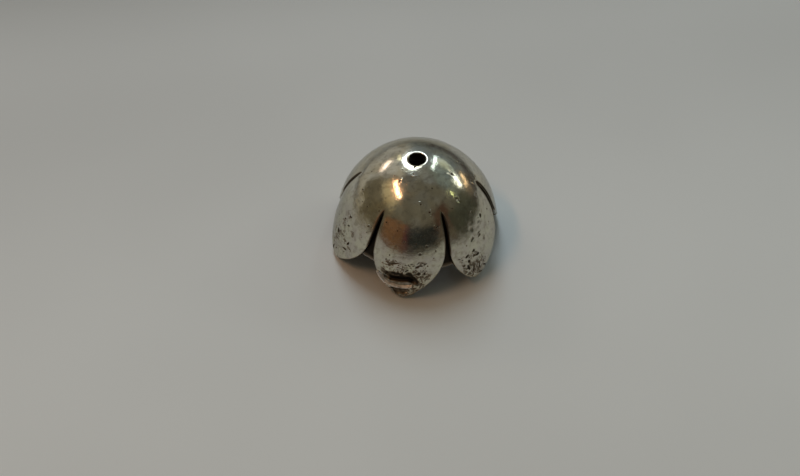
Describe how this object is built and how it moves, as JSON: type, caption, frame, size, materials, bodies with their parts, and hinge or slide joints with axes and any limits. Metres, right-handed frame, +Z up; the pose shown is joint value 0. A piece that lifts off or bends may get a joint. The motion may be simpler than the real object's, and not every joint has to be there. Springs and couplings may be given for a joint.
{
  "type": "bead cap",
  "caption": "Small domed metal cap, slit into petals that lean out to round tips, with a hole at its crown for a thread; it seats over one end of a round bead.",
  "frame": {"origin": "on the ground under the centre of the mouth, straight below the thread hole", "axes": "+Z up out of the thread hole, -Y towards the front petal, +X to the right of it"},
  "size_m": [0.0149, 0.0161, 0.0095],
  "materials": {
    "antiqued_silver": "polished cast silver, slightly yellowed, with dark tarnish in its pits, slits and hollow"
  },
  "bodies": {
    "root": {"bead_cap": "antiqued_silver"}
  },
  "joints": []
}
